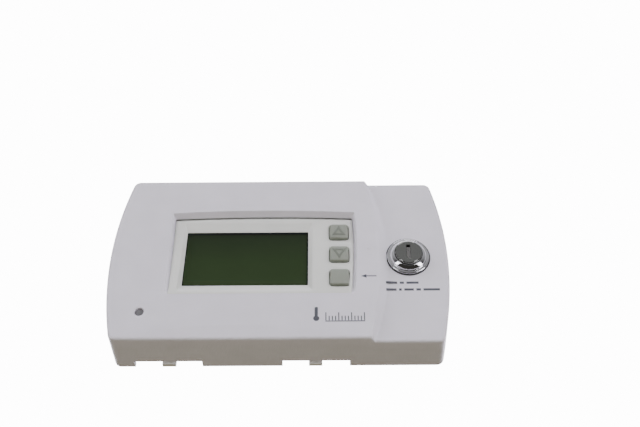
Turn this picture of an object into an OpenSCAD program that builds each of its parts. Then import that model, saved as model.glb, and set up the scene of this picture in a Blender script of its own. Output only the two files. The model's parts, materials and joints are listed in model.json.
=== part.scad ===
// Wall thermostat with a keyed override switch.
// The front unit hooks over the top of a wall plate, swings shut and is held by two latches below.
// Everything is drawn flat, x to the right, y up the wall and z out of the wall, and each node is
// then stood up by on_wall(): +X right, +Z up, the wall at Y = 0 and the front towards -Y.

/* [Case] */
// Half width of the display half of the case, at its front face
main_half_w = 71.2; // [70:0.1:74]
// Right-hand end of the lock half of the case, at its front face
case_right = 109; // [107:0.5:116]
// Upper edge of the front face
case_top = 51.7; // [51.5:0.1:54]
// Lower edge of the front face
case_bottom = -49.7; // [-52:0.1:-49.5]
// Distance from the wall to the front face of the display half
case_d = 28; // [27.8:0.1:30]
// Distance from the wall to the front face of the lock half
lock_side_d = 24; // [23.8:0.1:25]
// Radius of the bowed sides
bow_r = 200; // [180:5:260]
// Wall thickness of the moulded case
wall = 2.2; // [1.8:0.1:2.4]

/* [Display] */
// Left, right, lower and upper edge of the visible glass
window = [-32.2, 34.2, -16.4, 18.0];
// Left, right, lower and upper edge of the recessed panel
pocket = [-39.8, 58.9, -23.2, 26.9];
// Depth of the recess at its upper edge; it runs out to nothing at the lower edge
pocket_deep = 3; // [2:0.1:3.2]

/* [Buttons] */
// Width of a button
button_w = 10.2; // [9:0.1:10.6]
// Height of a button
button_h = 9.6; // [8.5:0.1:10]
// Travel of a button
button_travel = 0.5; // [0.3:0.1:0.6]

/* [Lock] */
// Radius of the chromed flange
flange_r = 11.6; // [10.5:0.1:12]
// Height of the lock's rim above the face of the lock half
lock_proud = 4; // [3.6:0.1:5]

/* [Wall plate] */
// Half width of the wall plate
plate_half_w = 64.2; // [62:0.1:65]
// Thickness of the wall plate, from the wall to its front face
plate_d = 5; // [4.6:0.1:5.2]
// Distance between the wall screws of a standard outlet box
screw_span = 83.3; // [83:0.1:83.8]
// Number of terminals
terminals = 14; // [8:1:14]
// Spacing of the terminals
pitch = 5.08; // [5:0.01:5.08]

/* [Hidden] */
$fn = 48;
eps = 0.01;
overlap = 0.06;
arc_steps = 12;
corner_steps = 6;

// Case
mid_y = (case_top + case_bottom) / 2;
draft_x = 1.9;
draft_y = 1.1;
corner_r = 4;
edge_r = 1.1;
step_bow_r = 240;
foot_right = 77.3;
foot_bow_r = 130;
ridge_right = 70.5;
notch_x = 38.3;
notch_w = 35;
notch_d = 5.5;
back_bevel = 2.6;
back_top = case_top + draft_y;

// Hooks and latches
hook_x = 30;
hook_w = 9;
pivot_y = 49.95;
pivot_z = 0.95;
latch_x = 38;
latch_w = 7;
latch_pivot = [-42.3, 1.4];

// Depths of the stack in the front unit
cover_z = 6.6;
cover_t = 1.6;
lock_cover_z = 1.0;
board_x = [-65.5, 65.5];
board_y = [-44.5, 46.5];
board_z = 12.0;
board_t = 1.6;
board_top = board_z + board_t;
post_x = 58;
post_y = [-38, 40];
lock_post = [[98, 36], [98, -34]];
glass_z = 23.9;
glass_x = [-35.4, 37.9];
bevel_y = [window[2] - 5.4, window[3] + 5.75];

// Buttons, all in one column
button_x = 50.8;
button_y = [16.4, 1.2, -14.1];
button_proud = 1.9;

// Indicator and lock
lens_at = [-51.25, -34.15];
lock_at = [87.75, 1.0];
barrel_r = 9.3;
barrel_z = 9.5;
plug_r = 6.0;
face_r = 7.2;
run = 0.1;
wire_r = 0.6;

// Wall plate
plate_y = [-46.2, 48.3];
plate_bow_r = 310;
face_t = 1.8;
wire_hole = [28.9, -8.4, 6.7];
block_half_w = 35.2;
collar_half_w = 36.8;
block_y = [12.6, 26.5];
screw_y = 23.7;
pin_y = 21.3;
hole_r = 1.85;
slot_len = 9.2;
slot_w = 3.6;
top_hole_x = 23;

// ---- Outlines ----------------------------------------------------------------------------------

// Half of a bowed outline: points up one side, from its lower to its upper corner, for a side whose
// outermost point is at x = reach and whose bow is centred on height yc.
function side(reach, yb, yt, yc, bow, cr) =
    let (cx = reach - bow,
         xt = cx + sqrt(pow(bow - cr, 2) - pow(yt - cr - yc, 2)),
         xb = cx + sqrt(pow(bow - cr, 2) - pow(yb + cr - yc, 2)),
         at = asin((yt - cr - yc) / (bow - cr)),
         ab = asin((yb + cr - yc) / (bow - cr)))
    concat(
        [for (i = [0:corner_steps]) let (a = -90 + (90 + ab) * i / corner_steps)
            [xb + cr * cos(a), yb + cr + cr * sin(a)]],
        [for (i = [1:arc_steps - 1]) let (a = ab + (at - ab) * i / arc_steps)
            [cx + bow * cos(a), yc + bow * sin(a)]],
        [for (i = [0:corner_steps]) let (a = at + (90 - at) * i / corner_steps)
            [xt + cr * cos(a), yt - cr + cr * sin(a)]]);

// Closed outline with bowed sides, from xl to xr and yb to yt
function barrel(xl, xr, yb, yt, bow_l, bow_rt, cr) =
    let (yc = (yb + yt) / 2,
         right = side(xr, yb, yt, yc, bow_rt, cr),
         left = side(-xl, yb, yt, yc, bow_l, cr))
    concat(right, [for (i = [len(left) - 1:-1:0]) [-left[i][0], left[i][1]]]);

// The whole case outline at depth z, drawn in by inset
function case_outline(z, inset) =
    let (dx = draft_x * (1 - z / case_d) - inset,
         dy = draft_y * (1 - z / case_d) - inset)
    barrel(-main_half_w - dx, case_right + dx, case_bottom - dy, case_top + dy, bow_r, bow_r,
        corner_r - inset / 2);

// The display half's outline at depth z, ending at x = right
function main_outline(z, inset, right, bow) =
    let (dx = draft_x * (1 - z / case_d) - inset,
         dy = draft_y * (1 - z / case_d) - inset)
    barrel(-main_half_w - dx, right - inset, case_bottom - dy, case_top + dy, bow_r, bow,
        corner_r - inset / 2);

module slab(points, z) translate([0, 0, z]) linear_extrude(eps) polygon(points);

module on_wall() rotate([90, 0, 0]) children();

module rod(r, z0, z1) translate([0, 0, z0]) cylinder(r = r, h = z1 - z0);

module tube(ro, ri, z0, z1) difference() {
    rod(ro, z0, z1);
    rod(ri, z0 - 1, z1 + 1);
}

module block(x, y, z) translate([x[0], y[0], z[0]]) cube([x[1] - x[0], y[1] - y[0], z[1] - z[0]]);

// Bar of a constant profile given in (y, z), running from x0 to x1
module bar(points, x0, x1)
    translate([x0, 0, 0]) rotate([90, 0, 90]) linear_extrude(x1 - x0) polygon(points);

// Straight slot with round ends, centred on the origin
module slot(len, w, z0, z1) {
    for (s = [-1, 1]) translate([s * (len - w) / 2, 0, 0]) rod(w / 2, z0, z1);
    block([-(len - w) / 2, (len - w) / 2], [-w / 2, w / 2], [z0, z1]);
}

// Rectangle with rounded corners as an exact solid, centred on the origin
module pillow(w, h, r, z0, z1) {
    for (x = [r - w / 2, w / 2 - r], y = [r - h / 2, h / 2 - r]) translate([x, y, 0]) rod(r, z0, z1);
    block([-w / 2, w / 2], [-h / 2 + r, h / 2 - r], [z0, z1]);
    block([-w / 2 + r, w / 2 - r], [-h / 2, h / 2], [z0, z1]);
}

// ---- Wall plate --------------------------------------------------------------------------------

plate_outline = barrel(-plate_half_w, plate_half_w, plate_y[0], plate_y[1], plate_bow_r, plate_bow_r, 5);
plate_inside = barrel(face_t - plate_half_w, plate_half_w - face_t, plate_y[0] + face_t, plate_y[1] - face_t,
    plate_bow_r, plate_bow_r, 3.5);

// Every screw hole, grown by margin: round ones above, level slots below and on the left, an upright
// slot on the right
module screw_holes(margin, z0, z1) {
    half = screw_span / 2;
    for (x = [-top_hole_x, 0, top_hole_x]) {
        translate([x, half, 0]) rod(hole_r + margin, z0, z1);
        translate([x, -half, 0]) slot(slot_len + 2 * margin, slot_w + 2 * margin, z0, z1);
    }
    translate([-half, 0, 0]) slot(slot_len + 2 * margin, slot_w + 2 * margin, z0, z1);
    translate([half, 0, 0]) rotate([0, 0, 90]) slot(slot_len + 2 * margin, slot_w + 2 * margin, z0, z1);
}

// Span of given width centred on x
function span(x, w) = [x - w / 2, x + w / 2];

module wall_plate() color([0.88, 0.88, 0.87]) difference() {
    union() {
        difference() {
            linear_extrude(plate_d) polygon(plate_outline);
            translate([0, 0, -1]) linear_extrude(plate_d - face_t + 1) polygon(plate_inside);
        }
        // Pads that carry the screw holes through to the wall
        screw_holes(2.2, 0, plate_d - eps);
        // Collar round the terminal block and the wire opening
        block([-collar_half_w, collar_half_w], [wire_hole[1] - 1.6, 32.2], [0, plate_d - eps]);
        // Ribs across the back
        for (x = [-48, 48]) block(span(x, 1.4), [plate_y[0] + 1, -6], [0, plate_d - eps]);
        for (y = [-26, -17]) block([-60, 60], span(y, 1.4), [1.5, plate_d - eps]);
        // Hooks over which the front unit hangs
        for (x = [-hook_x, hook_x]) block(span(x, hook_w), [plate_y[1] - 1, 50.2], [2.2, 3.6]);
    }
    // Bed of the terminal block, open to the front, with a floor behind its upper part
    block([-block_half_w, block_half_w], [block_y[0] - 0.1, 30.5], [1.0, plate_d + 1]);
    // Wire entry under the block and the big opening to the wall
    block([-31, 31], [wire_hole[2] + 4.4, block_y[0]], [-1, plate_d + 1]);
    block([-31, 31], [wire_hole[2] - 1, wire_hole[2] + 4.5], [2.2, plate_d + 1]);
    block([-wire_hole[0], wire_hole[0]], [wire_hole[1], wire_hole[2]], [-1, plate_d + 1]);
    screw_holes(0, -1, plate_d + 1);
    // Bays in which the latches bend
    for (x = [-latch_x, latch_x]) block(span(x, latch_w + 0.8), [plate_y[0] - 1, -40.6], [-1, plate_d + 1]);
}

function terminal_x(i) = (i - (terminals - 1) / 2) * pitch;

// Opening over one terminal: a round well for the screw that narrows to a funnel for the pin
module heart(z0, z1) {
    translate([0, screw_y, 0]) rod(1.85, z0, z1);
    translate([0, 0, z0]) linear_extrude(z1 - z0) polygon(
        [[-1.83, screw_y - 0.25], [-0.85, pin_y - 0.9], [0.85, pin_y - 0.9], [1.83, screw_y - 0.25]]);
}

module terminal_block() color([0.86, 0.87, 0.86]) difference() {
    block([-block_half_w + 0.1, block_half_w - 0.1], block_y, [1.05, plate_d - 0.1]);
    for (i = [0:terminals - 1]) translate([terminal_x(i), 0, 0]) {
        heart(2.9, plate_d + 1);
        block([-1.9, 1.9], [14.2, 25.9], [1.3, 3.0]);
        block([-1.3, 1.3], [12, 14.5], [1.5, 3.0]);
    }
}

module terminal_clamps() color([0.75, 0.72, 0.6])
    for (i = [0:terminals - 1]) translate([terminal_x(i), 0, 0]) difference() {
        block([-1.7, 1.7], [14.6, 25.6], [1.4, 2.2]);
        translate([0, screw_y, 0]) rod(1.25, 0, 4);
    }

module terminal_screws() color([0.3, 0.3, 0.3])
    for (i = [0:terminals - 1]) translate([terminal_x(i), screw_y, 0]) difference() {
        union() {
            rod(1.2, 1.35, 3.05);
            rod(1.65, 3.05, 4.3);
        }
        rotate([0, 0, 20 + 37 * i]) block([-2, 2], [-0.3, 0.3], [3.7, 5]);
    }

// A tongue that bends at its root: an arm reaching over the case's catch, a nib and a thumb pad
module latch(x) color([0.84, 0.84, 0.82]) translate([x, 0, 0]) {
    bar([[-41.0, 0.5], [-44.0, 0.5], [-51.2, 0.9], [-51.2, 3.5], [-46.4, 4.2], [-45.9, 7.4], [-47.6, 7.5],
        [-46.6, 8.9], [-44.5, 8.9], [-43.7, 4.6], [-41.0, 2.4]], -latch_w / 2, latch_w / 2);
    translate([-latch_w / 2, latch_pivot[0], latch_pivot[1]])
        rotate([0, 90, 0]) cylinder(r = 1.35, h = latch_w);
}

// ---- Case --------------------------------------------------------------------------------------

// Front face depth of the recessed panel at height y
function panel_z(y) = case_d - pocket_deep * (y - pocket[2]) / (pocket[3] - pocket[2]);

module pocket_shape(grow) polygon(barrel(pocket[0] - grow, pocket[1] + grow, pocket[2] - grow,
    pocket[3] + grow, 400, 400, 1.2));

module post(x, y, z0, z1) translate([x, y, 0]) rod(3.3, z0, z1);

module case_body() {
    hull() {
        slab(case_outline(0, 0), 0);
        slab(case_outline(lock_side_d, 0), lock_side_d - edge_r);
        slab(case_outline(lock_side_d, edge_r), lock_side_d - eps);
    }
    hull() {
        slab(main_outline(lock_side_d, overlap, foot_right, foot_bow_r), lock_side_d - 2);
        slab(main_outline(case_d, 0, ridge_right + 1, step_bow_r), case_d - edge_r);
        slab(main_outline(case_d, edge_r, ridge_right, step_bow_r), case_d - eps);
    }
}

module case_hollow() {
    hull() {
        slab(case_outline(0, wall), -0.1);
        slab(case_outline(lock_side_d, wall), lock_side_d - wall);
    }
    hull() {
        slab(main_outline(lock_side_d, wall + overlap, foot_right - 1.5, foot_bow_r), lock_side_d - wall - 2);
        slab(main_outline(case_d, wall + overlap, ridge_right, step_bow_r), case_d - wall);
    }
}

module front_case() color([0.9, 0.9, 0.91]) difference() {
    union() {
        difference() {
            case_body();
            case_hollow();
        }
        for (x = [-post_x, post_x], y = post_y) post(x, y, board_top + 0.05, case_d - wall + 0.5);
        for (p = lock_post) post(p[0], p[1], 4, lock_side_d - wall + 0.5);
        // Bars that hang behind the wall plate's hooks, round at the pivot
        for (s = [-1, 1]) {
            block(span(s * hook_x, 12), [pivot_y, 51.2], [pivot_z - 0.45, pivot_z + 0.45]);
            translate([s * hook_x - 6, pivot_y, pivot_z]) rotate([0, 90, 0]) cylinder(r = 0.5, h = 12);
        }
        // Catches for the latches
        for (x = [-latch_x, latch_x]) block(span(x, 10), [-48.9, -46.9], [5.8, 7.0]);
    }
    // Hole for the recessed panel, sloped at its upper edge
    translate([0, 0, lock_side_d - 3]) linear_extrude(10) pocket_shape(0);
    bar([[pocket[3] - 1, 24.9], [pocket[3] + 0.02, 24.9], [pocket[3] + 2.4, case_d + 0.1],
        [pocket[3] - 1, case_d + 0.1]], pocket[0] + 0.4, pocket[1] - 0.4);
    translate([lock_at[0], lock_at[1], 0]) rod(barrel_r + run, 15, 30);
    translate([lens_at[0], lens_at[1], 0]) rod(2.25, 24, 30);
    for (x = [-post_x, post_x], y = post_y) translate([x, y, 0]) rod(1.25, 10, 21);
    for (p = lock_post) translate([p[0], p[1], 0]) rod(1.25, 3, 15);
    for (x = [-notch_x, notch_x]) block(span(x, notch_w), [case_bottom - 5, -46.5], [-1, notch_d]);
    // Slope along the upper back edge, so that the case can swing against a wall
    bar([[pivot_y + 0.35, -1], [pivot_y + 0.35, 0.4], [back_top + 0.1, back_bevel + 0.1],
        [case_top + 5, back_bevel + 0.1], [case_top + 5, -1]], -80, 120);
}

module display_panel() color([0.87, 0.87, 0.85]) difference() {
    union() {
        intersection() {
            translate([0, 0, 20]) linear_extrude(12) pocket_shape(-0.15);
            bar([for (s = [[-25, 0], [29, 0], [29, -2], [-25, -2]]) [s[0], panel_z(s[0]) + s[1]]], -50, 65);
        }
        // Skirt and the flange that seats behind the case
        intersection() {
            difference() {
                translate([0, 0, 23]) linear_extrude(4) pocket_shape(-0.15);
                translate([0, 0, 22]) linear_extrude(6) pocket_shape(-1.65);
            }
            bar([[-30, 23], [-30, panel_z(-30) - 1], [32, panel_z(32) - 1], [32, 23]], -50, 65);
        }
        difference() {
            translate([0, 0, 24.2]) linear_extrude(1.5) pocket_shape(1.5);
            translate([0, 0, 20]) linear_extrude(10) pocket_shape(-0.3);
        }
        // Thick border round the window
        intersection() {
            block([window[0] - 3.2, window[1] + 3.6], [window[2] - 6.8, window[3] + 7], [24.0, 29]);
            bar([for (s = [[-25, 0], [29, 0]]) [s[0], panel_z(s[0]) - 0.1], [29, 23], [-25, 23]], -50, 65);
        }
    }
    // Bevelled window
    hull() {
        block([window[0], window[1]], [window[2], window[3]], [23.9, 24.0]);
        bar([for (s = [[bevel_y[0], 0], [bevel_y[1], 0], [bevel_y[1], 0.1], [bevel_y[0], 0.1]])
            [s[0], panel_z(s[0]) + s[1]]], window[0] - 1.5, window[1] + 2.2);
    }
    block([window[0], window[1]], [window[2], window[3]], [20, 24.1]);
    // Seat of the front glass
    block([glass_x[0] - 0.1, glass_x[1] + 0.1], [-19.0, 20.6], [20, glass_z + 0.05]);
    for (y = button_y) translate([button_x, y, 0]) pillow(button_w + 0.6, button_h + 0.6, 1.5, 20, 30);
}

// ---- Buttons -----------------------------------------------------------------------------------

// Key cap with a guide flange behind the panel and a stem to the switch
module button(y) color([0.72, 0.75, 0.71]) translate([button_x, y, 0]) {
    flange_z = panel_z(y + button_h / 2) - 2.4;
    pillow(button_w, button_h, 1.3, flange_z - eps, panel_z(y) + button_proud - 0.6);
    pillow(button_w - 1.2, button_h - 1.2, 1.0, flange_z, panel_z(y) + button_proud);
    pillow(button_w + 1.2, button_h + 1.6, 1.3, flange_z - 1.2, flange_z);
    rod(1.8, 18.65, flange_z - 1);
}

module plunger(y) color([0.2, 0.2, 0.2]) translate([button_x, y, 0]) rod(1.6, 16.6, 18.6);

module switch_bases() color([0.15, 0.15, 0.16]) for (y = button_y) translate([button_x, y, 0]) difference() {
    block([-3, 3], [-3, 3], [board_top + 0.05, 17.1]);
    rod(1.75, 15.1, 18);
    rod(2.4, 15.1, 16.0);
}

module switch_domes() color([0.8, 0.8, 0.8])
    for (y = button_y) translate([button_x, y, 0]) rod(2.3, 15.15, 15.4);

// ---- Display stack -----------------------------------------------------------------------------

module lcd_front_glass() color([0.22, 0.27, 0.17]) block(glass_x, [-18.9, 20.5], [22.8, glass_z]);
module lcd_rear_glass() color([0.25, 0.3, 0.2]) block(glass_x, [-20.2, 21.8], [21.65, 22.75]);
module lcd_light_guide() color([0.9, 0.9, 0.86]) block([-33.8, 36.3], [-18.0, 19.6], [18.6, 21.6]);

module lcd_holder() color([0.92, 0.92, 0.92]) difference() {
    block([-38.4, 40.9], [-22.6, 24.2], [board_top + 0.05, 22.7]);
    block([-35.6, 38.1], [-20.4, 22.0], [13, 24]);
}

module zebra_strips() color([0.3, 0.3, 0.32]) {
    block([-30, 32.5], [19.9, 21.8], [board_top + 0.05, 21.6]);
    block([-30, 32.5], [-20.2, -18.3], [board_top + 0.05, 21.6]);
}

// ---- Electronics -------------------------------------------------------------------------------

module circuit_board() color([0.1, 0.35, 0.2]) difference() {
    block(board_x, board_y, [board_z, board_top]);
    for (x = [-post_x, post_x], y = post_y) translate([x, y, 0]) rod(1.6, 10, 15);
    for (i = [0:terminals - 1]) translate([terminal_x(i), pin_y, 0]) rod(0.55, 10, 15);
    for (x = board_x, y = board_y) translate([x, y, 0]) rotate([0, 0, 45]) block([-4, 4], [-4, 4], [10, 15]);
}

module chip(x, y, w, h, t) block(span(x, w), span(y, h), [board_z - 0.05 - t, board_z - 0.05]);

module control_chips() color([0.12, 0.12, 0.13]) {
    chip(0, -6, 14, 14, 1.6);
    for (x = [-34, -20, 24]) chip(x, -8, 6, 5, 1.5);
    chip(38, -8, 8, 10, 2.4);
    chip(-2, -24, 11, 4.6, 3.2);
}

module relays() color([0.93, 0.55, 0.15]) for (x = [-38, -14, 10, 34])
    block([x - 9.5, x + 9.5], [31.5, 41.5], [board_top + 0.05, 23.6]);

module capacitors() color([0.16, 0.2, 0.32]) {
    for (x = [18, 29]) translate([x, -33.5, 0]) rod(4, board_top + 0.05, 25.0);
    translate([0, -34, 0]) rod(6.5, board_top + 0.05, 19.0);
}

module temperature_sensor() color([0.2, 0.35, 0.3]) {
    translate([-24, -40, 0]) rod(1.4, board_top + 0.05, 19);
    translate([-24, -40, 19]) sphere(r = 1.7);
}

module contact_header() color([0.14, 0.14, 0.15]) difference() {
    block([-36.2, 36.2], [pin_y - 2.6, pin_y + 2.6], [7.2, board_z - 0.05]);
    for (i = [0:terminals - 1]) translate([terminal_x(i), pin_y, 0]) rod(0.5, 6, 13);
}

module contact_pins() color([0.85, 0.75, 0.4]) for (i = [0:terminals - 1])
    translate([terminal_x(i), pin_y, 0]) rod(0.45, 2.5, board_top - 0.05);

module indicator_lens() color([0.6, 0.6, 0.6]) translate([lens_at[0], lens_at[1], 0]) {
    rod(2.15, 15.2, 27.2);
    rod(3.2, 24.0, 25.6);
}

module indicator_led() color([0.8, 0.9, 0.8]) translate([lens_at[0], lens_at[1], 0])
    block([-1.6, 1.6], [-1.4, 1.4], [board_top + 0.05, 15.0]);

// ---- Back of the front unit --------------------------------------------------------------------

cover_outline = case_outline(cover_z, wall + 0.5);
lock_cover_outline = case_outline(lock_cover_z, wall + 0.5);

module rear_cover() color([0.85, 0.85, 0.84]) difference() {
    union() {
        intersection() {
            translate([0, 0, cover_z]) linear_extrude(cover_t) polygon(cover_outline);
            block([-90, 67.6], [-60, 60], [0, 20]);
        }
        intersection() {
            translate([0, 0, lock_cover_z]) linear_extrude(cover_t) polygon(lock_cover_outline);
            block([66, 120], [-60, 60], [0, 20]);
        }
        intersection() {
            translate([0, 0, lock_cover_z])
                linear_extrude(cover_z + cover_t - lock_cover_z) polygon(cover_outline);
            block([66, 67.6], [-60, 60], [0, 20]);
        }
        for (x = [-post_x, post_x], y = post_y) translate([x, y, 0]) rod(3.8, cover_z, board_z - 0.05);
        for (p = lock_post) translate([p[0], p[1], 0]) rod(3.8, lock_cover_z, 3.95);
    }
    for (x = [-post_x, post_x], y = post_y) translate([x, y, 0]) {
        rod(1.5, 5, 13);
        rod(2.8, 5, cover_z + 1.9);
    }
    for (p = lock_post) translate([p[0], p[1], 0]) {
        rod(1.5, 0, 5);
        rod(2.8, 0, lock_cover_z + 1.9);
    }
    block([-37.2, 37.2], [pin_y - 3.4, pin_y + 3.4], [5, 10]);
    for (x = [-latch_x, latch_x]) block(span(x, 12), [-60, -41.6], [5, 10]);
    for (i = [-3:3]) translate([i * 7, -30, 0]) rotate([0, 0, 90]) slot(14, 2, 5, 10);
    for (i = [-2:2]) translate([96, i * 7, 0]) slot(14, 2, 0, 4);
}

module screw(x, y, head_z, tip_z) translate([x, y, 0]) difference() {
    union() {
        rod(1.2, head_z + 1, tip_z);
        rod(2.5, head_z, head_z + 1.6);
    }
    for (a = [0, 90]) rotate([0, 0, a]) block([-1.3, 1.3], [-0.3, 0.3], [head_z - 1, head_z + 0.8]);
}

module case_screws() color([0.6, 0.6, 0.62]) {
    for (x = [-post_x, post_x], y = post_y) screw(x, y, cover_z + 0.2, 20.5);
    for (p = lock_post) screw(p[0], p[1], lock_cover_z + 0.2, 14.5);
}

// ---- Lock --------------------------------------------------------------------------------------

module at_lock() translate([lock_at[0], lock_at[1], 0]) children();

seat_z = lock_side_d + 0.4;
face_z = lock_side_d + lock_proud;
plug_proud = 1; // how far the plug's face stands out of the rim

module lock_housing() color([0.75, 0.75, 0.75]) at_lock() difference() {
    rotate_extrude() polygon([[0, barrel_z], [barrel_r - 0.5, barrel_z], [barrel_r, barrel_z + 0.5],
        [barrel_r, seat_z], [flange_r, seat_z], [flange_r, seat_z + 0.7], [flange_r - 0.3, seat_z + 0.9],
        [9.8, seat_z + 0.9], [9.4, seat_z + 2.0], [8.7, face_z - 0.6], [8, face_z], [0, face_z]]);
    rod(plug_r + run, barrel_z - 1, face_z + 1);
    rod(face_r + run, face_z - 2.2, face_z + 1);
}

module lock_gasket() color([0.08, 0.08, 0.08])
    at_lock() tube(flange_r + 0.25, barrel_r + run, lock_side_d, seat_z);

module lock_washer() color([0.65, 0.65, 0.65]) at_lock() tube(12.2, barrel_r + run, 21.2, 21.75);

module lock_nut() color([0.7, 0.7, 0.7]) at_lock() difference() {
    translate([0, 0, 18.1]) cylinder(r = 13.4, h = 3.1, $fn = 6);
    rod(barrel_r + run, 17, 22);
}

module lock_plug() color([0.4, 0.4, 0.4]) at_lock() difference() {
    union() {
        rod(face_r, face_z - 2.1, face_z + plug_proud);
        rod(plug_r, barrel_z + 0.1, face_z - 2);
    }
    block([-1, 1], [-4.1, 4.5], [13, 30]);
    for (i = [0:4]) block([-2.3, 2.3], [-8, 8], [15.5 + 2 * i, 16.4 + 2 * i]);
}

// Dust shutter behind the lower part of the keyway's mouth
module key_shutter() color([0.6, 0.6, 0.58]) at_lock()
    block([-0.95, 0.95], [-4.05, 3.3], [face_z + plug_proud - 0.8, face_z + plug_proud - 0.4]);

module plug_wafers() color([0.8, 0.7, 0.4]) at_lock() for (i = [0:4]) intersection() {
    difference() {
        block([-2.2, 2.2], [-6, 6], [15.55 + 2 * i, 16.35 + 2 * i]);
        block([-1.4, 1.4], [-3.6, 4.2 - 0.4 * i], [10, 30]);
    }
    rod(plug_r - 0.05, 10, 30);
}

module lock_rotor() color([0.3, 0.3, 0.3]) at_lock() {
    rod(2.6, 5.2, barrel_z + 0.05);
    block([-0.9, 0.9], [-4.9, 4.9], [6.6, 7.8]);
}

// Two flat blades that leave the switch towards the board, drawn in by inset
module blades(inset) for (s = [-1, 1])
    block([-12.2 + inset, -6.6 - inset], span(s * 2.4, 2.2 - 2 * inset), [5.6 + inset, 6.2 - inset]);

module switch_block() color([0.1, 0.1, 0.1]) at_lock() difference() {
    rod(8.6, 3.6, barrel_z - 0.05);
    rod(5.4, 4.8, 12);
    blades(-0.02);
}

module switch_terminals() color([0.8, 0.75, 0.5]) at_lock() blades(0);

// Straight run of wire between two points
module run_of_wire(a, b) {
    v = b - a;
    translate(a) rotate([0, acos(v[2] / norm(v)), atan2(v[1], v[0])]) cylinder(r = wire_r, h = norm(v));
}

// One insulated wire from a blade of the switch to the plug on the board, with a bead at each bend
module switch_wire(s) {
    path = [[76.5, lock_at[1] + 2.4 * s, 6.85], [72.0, -1 + 2.2 * s, 10.5], [69.0, -11 + 2.0 * s, 16.4],
        [63.0, -24.5 + 1.6 * s, 16.4]];
    for (i = [0:len(path) - 2]) run_of_wire(path[i], path[i + 1]);
    for (i = [1:len(path) - 2]) translate(path[i]) sphere(r = wire_r + 0.07);
}

module switch_wires() color([0.7, 0.15, 0.12]) for (s = [-1, 1]) switch_wire(s);

module wire_plug() color([0.9, 0.9, 0.85]) difference() {
    block([56.4, 62.4], [-28.2, -20.8], [board_top + 0.05, 19.2]);
    block([56, 57.2], [-26, -23], [15, 20]);
}

// ---- Nodes -------------------------------------------------------------------------------------

on_wall() wall_plate();
on_wall() terminal_block();
on_wall() terminal_clamps();
on_wall() terminal_screws();
on_wall() latch(-latch_x);  // latch_left
on_wall() latch(latch_x);  // latch_right
on_wall() front_case();
on_wall() display_panel();
on_wall() rear_cover();
on_wall() case_screws();
on_wall() circuit_board();
on_wall() control_chips();
on_wall() relays();
on_wall() capacitors();
on_wall() temperature_sensor();
on_wall() contact_header();
on_wall() contact_pins();
on_wall() lcd_front_glass();
on_wall() lcd_rear_glass();
on_wall() lcd_light_guide();
on_wall() lcd_holder();
on_wall() zebra_strips();
on_wall() switch_bases();
on_wall() switch_domes();
on_wall() button(button_y[0]);  // button_up
on_wall() button(button_y[1]);  // button_down
on_wall() button(button_y[2]);  // button_start
on_wall() plunger(button_y[0]);  // plunger_up
on_wall() plunger(button_y[1]);  // plunger_down
on_wall() plunger(button_y[2]);  // plunger_start
on_wall() indicator_lens();
on_wall() indicator_led();
on_wall() lock_housing();
on_wall() lock_gasket();
on_wall() lock_nut();
on_wall() lock_washer();
on_wall() switch_block();
on_wall() switch_terminals();
on_wall() switch_wires();
on_wall() wire_plug();
on_wall() lock_plug();
on_wall() key_shutter();
on_wall() plug_wafers();
on_wall() lock_rotor();
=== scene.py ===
"""The looks of a wall thermostat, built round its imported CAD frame.

The row frame is in metres, with the wall at Y = 0, the front towards -Y and +Z up. Shapes are worked
out flat, in millimetres: x to the right, y up the wall and d, the depth out of the wall.
"""
import json
import math

import bmesh
import bpy
import numpy as np
from mathutils import Matrix, Vector
from mathutils.geometry import delaunay_2d_cdt


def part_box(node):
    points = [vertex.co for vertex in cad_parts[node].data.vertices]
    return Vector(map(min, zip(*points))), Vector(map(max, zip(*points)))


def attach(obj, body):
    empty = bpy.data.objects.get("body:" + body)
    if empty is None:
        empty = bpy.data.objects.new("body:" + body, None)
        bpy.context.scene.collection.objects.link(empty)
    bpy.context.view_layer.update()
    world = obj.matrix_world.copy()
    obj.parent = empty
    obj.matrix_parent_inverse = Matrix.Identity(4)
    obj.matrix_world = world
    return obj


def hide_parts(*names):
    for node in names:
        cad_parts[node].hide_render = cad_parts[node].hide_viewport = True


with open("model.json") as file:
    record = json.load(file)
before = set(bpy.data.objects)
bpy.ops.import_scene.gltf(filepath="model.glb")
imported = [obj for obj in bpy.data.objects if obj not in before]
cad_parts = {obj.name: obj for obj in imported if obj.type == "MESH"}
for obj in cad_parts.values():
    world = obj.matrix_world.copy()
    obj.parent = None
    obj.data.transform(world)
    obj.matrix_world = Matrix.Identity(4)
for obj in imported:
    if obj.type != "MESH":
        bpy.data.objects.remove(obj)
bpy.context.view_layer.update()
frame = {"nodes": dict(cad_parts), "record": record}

MM = 0.001


# ---- Flat coordinates and the frame's sizes -----------------------------------------------------

def place(x, y, d):
    """Point in the row frame of a flat point in millimetres."""
    return Vector((x * MM, -d * MM, y * MM))


class FlatBox:
    """A CAD node's box in flat millimetres."""

    def __init__(self, node):
        low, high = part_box(node)
        self.x0, self.x1 = low.x / MM, high.x / MM
        self.y0, self.y1 = low.z / MM, high.z / MM
        self.d0, self.d1 = -high.y / MM, -low.y / MM
        self.x, self.y = (self.x0 + self.x1) / 2, (self.y0 + self.y1) / 2


case_box = FlatBox("front_case")
glass = FlatBox("lcd_front_glass")
gasket = FlatBox("lock_gasket")
lens = FlatBox("indicator_lens")
plug_box = FlatBox("lock_plug")
housing_box = FlatBox("lock_housing")

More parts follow.
